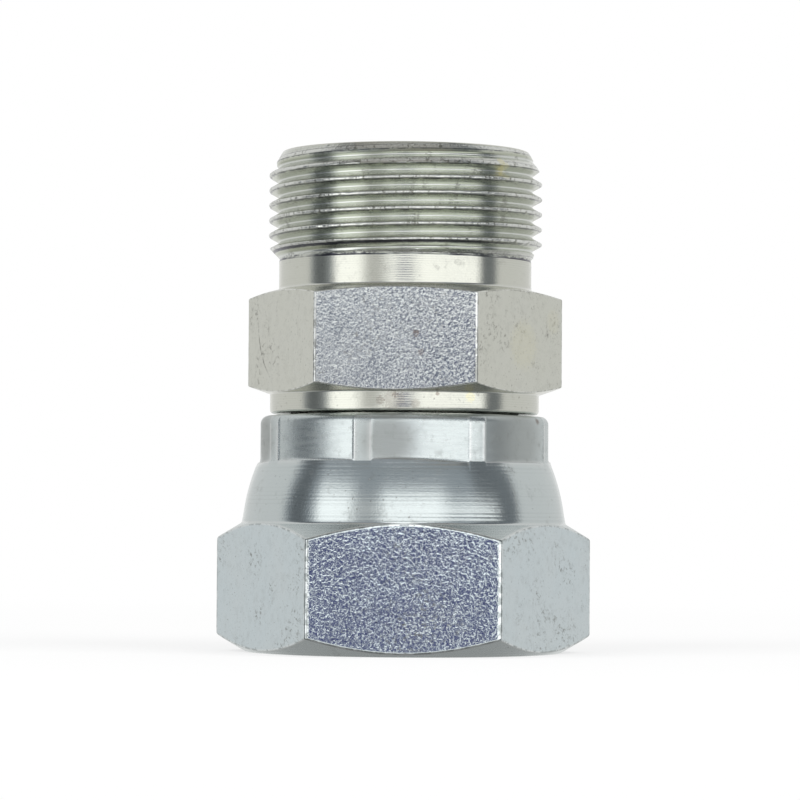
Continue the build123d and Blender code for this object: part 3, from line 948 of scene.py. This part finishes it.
class FITTING_OT_nut(bpy.types.Operator):
    """Model the swivel nut and give it its finish"""

    bl_idname = "fitting.nut"
    bl_label = "Swivel nut"

    def execute(self, context):
        settings = context.scene.fitting_finish
        colour = settings.nut_colour
        flats = settings.flat_colour
        sizes = context.scene.fitting_nut
        thread = context.scene.fitting_thread
        female_thread = (thread.pitch / MM, FEMALE_START * thread.pitch / MM, -10.0)
        finishes = {
            "turned": turned_finish("nut_turned", colour, settings, 0.5, 0.012, 0.24, 0.6),
            "rim": turned_finish("nut_rim", colour, settings, 0.4, 0.012, 0.26, 0.5),
            "cone": turned_finish("nut_cone", colour, settings, 0.4, 0.010, 0.26, 0.5),
            "dome": turned_finish("nut_dome", colour, settings, 0.6, 0.018, 0.16, 0.65),
            "etched": etched_finish("nut_hexagon", flats, settings, 2.1, 0.040, 0.12, NUT_SCUFFS),
            "crimp": crimp_finish("nut_crimp", colour, settings),
            "thread": thread_finish("nut_thread", settings.thread_colour, settings, *female_thread),
            "bore": bore_finish("nut_bore", settings.bore_colour, settings),
        }
        piece = nut_skin(sizes, thread).build("nut_finish", finishes)
        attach(piece, "nut")
        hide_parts("swivel_nut")
        return {"FINISHED"}


def make_surroundings(studio):
    """World: white for the camera, and for the metal soft panels, dark gaps and a dim front."""
    world = bpy.data.worlds.new("Studio")
    bpy.context.scene.world = world
    world.use_nodes = True
    g = Graph(world.node_tree)
    direction = g.add("TexCoord")
    x, y, z = (g.part(direction, index) for index in range(3))
    side = x.maths("ARCTAN2", x, -1.0 * y) * math.degrees(1)
    up = z.maths("ARCSINE", z) * math.degrees(1)

    def below(edge, soft):
        return 1.0 - g.smooth(up, edge - soft, edge + soft)

    band = g.band
    front = band(side, -96, 87, 5)
    pale, bright, dim, dark = studio.pale, studio.bright, studio.dim, studio.dark
    patches = (
        # Behind the fitting and below it
        (g.smooth(side.size(), 150, 165), 1.15 * pale, GREY),
        (below(-30, 12), 0.55 * pale, GREY),
        # Dim room behind the camera, and its ceiling and floor
        (front, dim, COOL),
        (front * band(side, 58, 92, 8, 5), 0.5 * dim, COOL),
        (front * g.smooth(up, 40, 52), 0.85 * dim, WARM),
        (below(-26, 6) * front, 0.38 * pale, GREY),
        (band(side, -50, -12, 8, 6) * below(22, 8) * g.smooth(up, -22, -8), 0.62, GREY),
        # Soft panels left and right of the camera
        (band(side, -67.5, -38, 5.5, 7) * band(up, -35, 27, 8), bright, GREY),
        (band(side, 12, 72, 6, 5) * band(up, -9, 18, 4, 7), bright, GREY),
        (band(side, 60, 92, 9, 5) * g.smooth(up, 11, 22), 0.5 * dim, COOL),
        # Panels above and below the camera, and the small dark and bright patches round it
        (band(side, -17, 31, 6, 9) * band(up, 3.5, 27, 1.4, 4), bright, GREY),
        (band(side, -40, 40, 8) * band(up, -28, -9, 5, 2), 0.95, GREY),
        (band(side, -21, 12, 6, 5) * band(up, 0.5, 3.5, 0.4, 0.9), 0.25, BLUE),
        (band(side, -22, -7.5, 3, 2) * band(up, -8, 0.1, 2, 0.5), bright, GREY),
        (band(side, 6.5, 20, 2, 4) * band(up, -8, 0.1, 2, 0.5), bright, GREY),
        (band(side, -6, 5, 2.5) * band(up, -7, 1.3, 2, 1.3), dark, NAVY),
        # Dark gaps beside the soft panels, and the light from straight above
        (band(side, -92, -75, 5) * below(62, 12), 0.93 * dark, COOL),
        (band(side, 78.5, 91, 5) * below(62, 12), 1.2 * dark, COOL),
        (g.smooth(up, 62, 76), 0.7 * pale, GREY),
    )
    light = [pale / PEAK * part for part in GREY]
    for mask, strength, tone in patches:
        light = g.colour(mask, light, [strength / PEAK * part for part in tone])
    reflected = g.add("Background", {"Color": light, "Strength": PEAK})
    plain, white = (
        g.add("Background", {"Color": WHITE, "Strength": strength}) for strength in (PLAIN_LIGHT, 1.0)
    )
    camera_ray, glossy_ray = (g.add("LightPath", output=index) for index in (0, 3))
    seen = g.add("MixShader", {0: glossy_ray, 1: plain, 2: reflected})
    seen = g.add("MixShader", {0: camera_ray, 1: seen, 2: white})
    g.add("OutputWorld", {"Surface": seen})


def make_floor(studio):
    """White floor that keeps a soft shadow under the fitting."""
    bpy.ops.object.select_all(action="DESELECT")
    bpy.ops.mesh.primitive_plane_add(size=studio.floor_width, location=(0, 0, 0))
    floor = bpy.context.object
    floor.name = "floor"
    material = bpy.data.materials.new("floor_white")
    material.use_nodes = True
    g = Graph(material.node_tree)
    lit = g.add("BsdfDiffuse", {"Color": FLOOR_COLOUR})
    glow = g.add("Emission", {"Color": WHITE, "Strength": 1.0})
    away = g.vector("LENGTH", g.add("TexCoord", output=3), output=1)
    share = (0.7 + 0.3 * g.smooth(away, 0.06, 0.35)) * g.add("LightPath")
    g.add("OutputMaterial", {"Surface": g.add("MixShader", {0: share, 1: lit, 2: glow})})
    floor.data.materials.append(material)
    floor.visible_glossy = False


def add_lamp(name, place):
    """A soft square lamp that points at the fitting and lights the floor."""
    lamp = bpy.data.lights.new(name, "AREA")
    lamp.shape = "SQUARE"
    lamp.size = LAMP_SIZE
    lamp.energy = LAMP_POWER
    holder = bpy.data.objects.new(name, lamp)
    bpy.context.scene.collection.objects.link(holder)
    holder.location = place
    aim = Vector(LAMP_AIM) - Vector(place)
    holder.rotation_euler = aim.to_track_quat("-Z", "Y").to_euler()
    holder.visible_glossy = False


def make_camera(studio):
    eye = Vector((0, -studio.distance, studio.eye_height))
    aim = Vector((studio.aim_side, 0, studio.aim_height))
    ahead = (aim - eye).normalized()
    right = ahead.cross(Vector((0, 0, 1))).normalized()
    up = right.cross(ahead)
    leaning = right * math.cos(studio.roll) + up * math.sin(studio.roll)
    above = up * math.cos(studio.roll) - right * math.sin(studio.roll)
    data = bpy.data.cameras.new("Camera")
    data.sensor_width = SENSOR_WIDTH
    data.lens = SENSOR_WIDTH * studio.distance / (PICTURE_SIDE * studio.pixel_size)
    data.clip_start = 0.01
    camera = bpy.data.objects.new("Camera", data)
    bpy.context.scene.collection.objects.link(camera)
    turned = Matrix((leaning, above, -ahead)).transposed().to_4x4()
    camera.matrix_world = Matrix.Translation(eye) @ turned
    bpy.context.scene.camera = camera


class FITTING_OT_studio(bpy.types.Operator):
    """Set up the camera, the floor and the light"""

    bl_idname = "fitting.studio"
    bl_label = "Studio"

    def execute(self, context):
        studio = context.scene.fitting_studio
        context.scene.view_settings.view_transform = "Standard"
        make_camera(studio)
        make_floor(studio)
        make_surroundings(studio)
        for name, place in LAMPS.items():
            add_lamp(name, place)
        return {"FINISHED"}


class FITTING_PT_panel(bpy.types.Panel):
    """Lists the pieces of the fitting"""

    bl_idname = "FITTING_PT_panel"
    bl_label = "Straight adapter fitting"
    bl_space_type = "VIEW_3D"
    bl_region_type = "UI"
    bl_category = "Fitting"

    def draw(self, context):
        for name in OPERATORS:
            self.layout.operator(name)
        for group in SETTINGS:
            settings = getattr(context.scene, group)
            box = self.layout.box()
            for key in settings.bl_rna.properties.keys():
                if key not in ("rna_type", "name"):
                    box.prop(settings, key)


OPERATORS = ("fitting.studio", "fitting.body", "fitting.nut")
SETTINGS = {
    "fitting_thread": ThreadSizes,
    "fitting_body": BodySizes,
    "fitting_nut": NutSizes,
    "fitting_finish": FinishSettings,
    "fitting_studio": StudioSettings,
}
CLASSES = (*SETTINGS.values(), FITTING_OT_body, FITTING_OT_nut, FITTING_OT_studio, FITTING_PT_panel)


def register():
    for item in CLASSES:
        bpy.utils.register_class(item)
    for name, group in SETTINGS.items():
        setattr(bpy.types.Scene, name, bpy.props.PointerProperty(type=group))


def unregister():
    for name in SETTINGS:
        delattr(bpy.types.Scene, name)
    for item in reversed(CLASSES):
        bpy.utils.unregister_class(item)


def main():
    register()
    bpy.ops.fitting.studio()
    bpy.ops.fitting.body()
    bpy.ops.fitting.nut()


if __name__ == "__main__":
    main()
